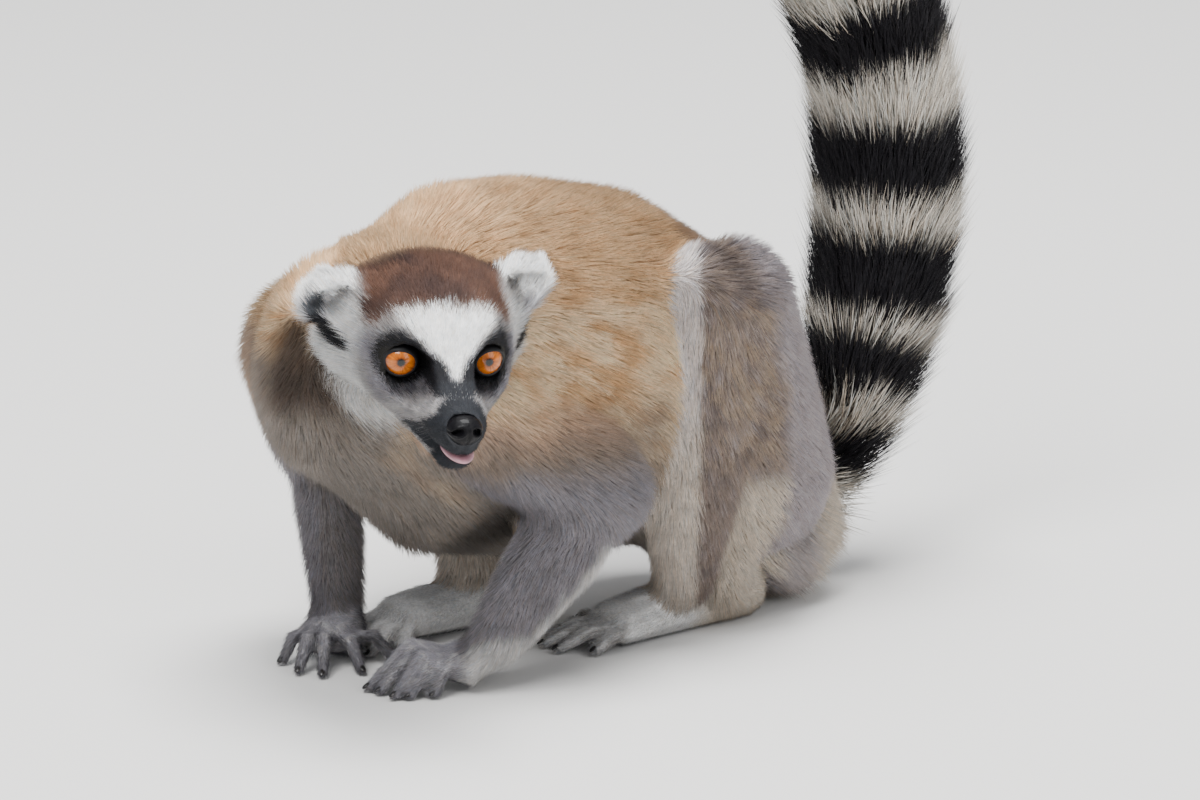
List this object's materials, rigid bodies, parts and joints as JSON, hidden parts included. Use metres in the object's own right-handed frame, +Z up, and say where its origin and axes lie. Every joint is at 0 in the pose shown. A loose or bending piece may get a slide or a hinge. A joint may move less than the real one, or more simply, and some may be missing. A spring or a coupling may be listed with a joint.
{
  "type": "ring-tailed lemur",
  "caption": "Life-size ring-tailed lemur crouched on its hind feet with both hands on the ground, head turned to its left, mouth a little open and ringed tail raised.",
  "frame": {"origin": "floor level, below the middle of the whole part's box", "axes": "+Z up; -Y the way the trunk faces, from the tail to the chest; +X the animal's left"},
  "size_m": [0.2006, 0.3812, 0.5504],
  "materials": {
    "eye": "glossy",
    "nose": "moist",
    "tongue": "moist",
    "white_coat": "fur",
    "dark_coat": "short fur",
    "grey_coat": "fur",
    "pale_coat": "fur",
    "grey_brown_coat": "fur",
    "buff_coat": "fur",
    "black_coat": "fur"
  },
  "bodies": {
    "root": {"eye_left": "eye", "eye_right": "eye", "nose": "nose", "tongue": "tongue", "head": "white_coat", "jaw": "dark_coat", "ear_left": "white_coat", "ear_right": "white_coat", "hand_left": "grey_coat", "hand_right": "grey_coat", "foot_left": "pale_coat", "foot_right": "pale_coat", "upper_arm_left": "grey_brown_coat", "upper_arm_right": "grey_brown_coat", "forearm_left": "grey_coat", "forearm_right": "grey_coat", "thigh_left": "grey_brown_coat", "thigh_right": "grey_brown_coat", "shank_left": "pale_coat", "shank_right": "pale_coat", "neck": "grey_brown_coat", "chest": "buff_coat", "trunk": "buff_coat", "tail_1": "black_coat", "tail_2": "pale_coat", "tail_3": "black_coat", "tail_4": "pale_coat", "tail_5": "black_coat", "tail_6": "pale_coat"}
  },
  "joints": []
}
